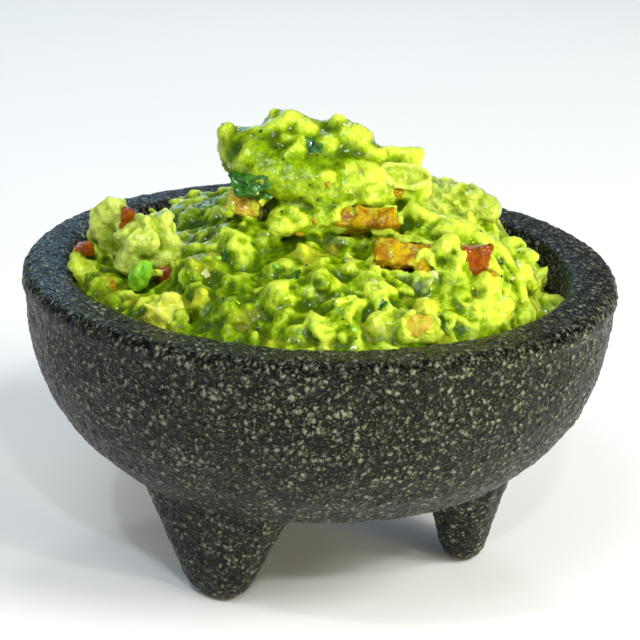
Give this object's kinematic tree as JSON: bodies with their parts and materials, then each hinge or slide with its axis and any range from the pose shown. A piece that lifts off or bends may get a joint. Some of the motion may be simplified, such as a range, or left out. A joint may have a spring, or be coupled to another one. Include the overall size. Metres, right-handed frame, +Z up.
{
  "type": "guacamole in a molcajete bowl",
  "caption": "Chunky guacamole with tomato and green pepper heaped in a round three-legged molcajete-style bowl with a thick flat rim.",
  "frame": {"origin": "on the bowl's axis, on the plane that its three feet stand on", "axes": "+Z up along the bowl's axis; two legs point forward (-Y), to the left and right, and the third points back (+Y)"},
  "size_m": [0.2, 0.2, 0.156],
  "materials": {
    "bowl": "black with a grainy stone-like stipple",
    "guacamole": "wet, chunky mashed avocado",
    "avocado": "wet avocado flesh",
    "tomato": "wet diced tomato",
    "green_pepper": "glossy raw green pepper"
  },
  "bodies": {
    "root": {"bowl": "bowl", "guacamole": "guacamole", "avocado_1": "avocado", "avocado_2": "avocado", "avocado_3": "avocado", "avocado_4": "avocado", "tomato_1": "tomato", "tomato_2": "tomato", "tomato_3": "tomato", "tomato_4": "tomato", "tomato_5": "tomato", "tomato_6": "tomato", "tomato_7": "tomato", "tomato_8": "tomato", "green_pepper": "green_pepper"}
  },
  "joints": []
}
